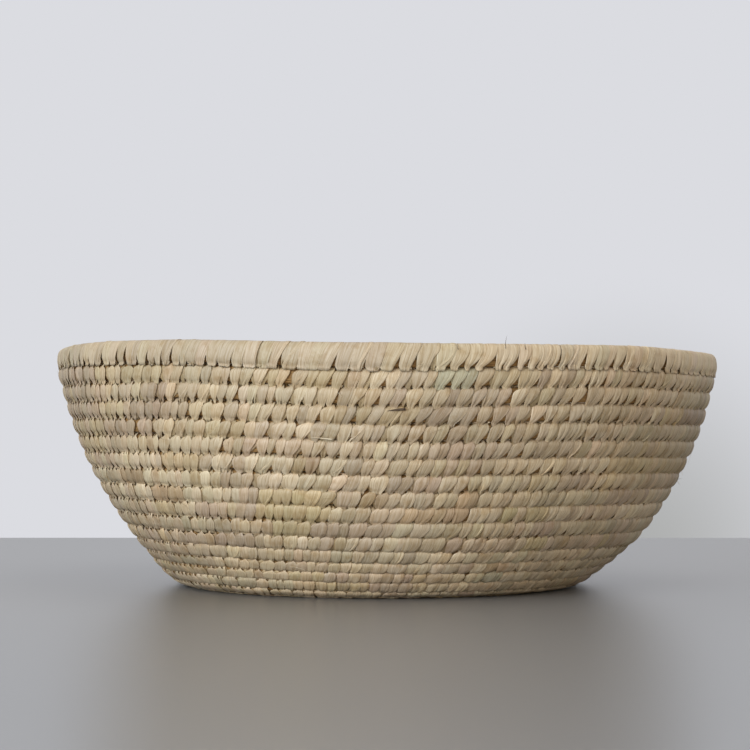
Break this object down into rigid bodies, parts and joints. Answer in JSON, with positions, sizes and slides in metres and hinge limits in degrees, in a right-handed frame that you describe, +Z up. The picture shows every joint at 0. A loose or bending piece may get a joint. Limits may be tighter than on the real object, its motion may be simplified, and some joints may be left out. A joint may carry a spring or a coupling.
{
  "type": "coiled palm leaf bowl",
  "caption": "Round open bowl with a flat base, coiled from one bundle of stems that is wrapped in strips of dried palm leaf, with a thicker wrapped rim.",
  "frame": {"origin": "centre of the flat base, on the surface that the bowl stands on", "axes": "+Z up along the bowl's axis, -Y towards the pictured side; the rim's end is at the back, at +Y"},
  "size_m": [0.3525, 0.3523, 0.1285],
  "materials": {
    "palm_leaf": "dried palm leaf strips, matt to satin, straw to pinkish brown",
    "dry_stems": "bundle of thin dry stems, matt"
  },
  "bodies": {
    "root": {"base_wrap_01": "palm_leaf", "base_wrap_02": "palm_leaf", "base_wrap_03": "palm_leaf", "base_wrap_04": "palm_leaf", "base_wrap_05": "palm_leaf", "base_wrap_06": "palm_leaf", "base_wrap_07": "palm_leaf", "base_wrap_08": "palm_leaf", "base_wrap_09": "palm_leaf", "base_wrap_10": "palm_leaf", "base_wrap_11": "palm_leaf", "base_wrap_12": "palm_leaf", "base_wrap_13": "palm_leaf", "wall_wrap_01": "palm_leaf", "wall_wrap_02": "palm_leaf", "wall_wrap_03": "palm_leaf", "wall_wrap_04": "palm_leaf", "wall_wrap_05": "palm_leaf", "wall_wrap_06": "palm_leaf", "wall_wrap_07": "palm_leaf", "wall_wrap_08": "palm_leaf", "wall_wrap_09": "palm_leaf", "wall_wrap_10": "palm_leaf", "wall_wrap_11": "palm_leaf", "wall_wrap_12": "palm_leaf", "wall_wrap_13": "palm_leaf", "wall_wrap_14": "palm_leaf", "wall_wrap_15": "palm_leaf", "wall_wrap_16": "palm_leaf", "rim_wrap": "palm_leaf", "foundation_core": "dry_stems"}
  },
  "joints": []
}
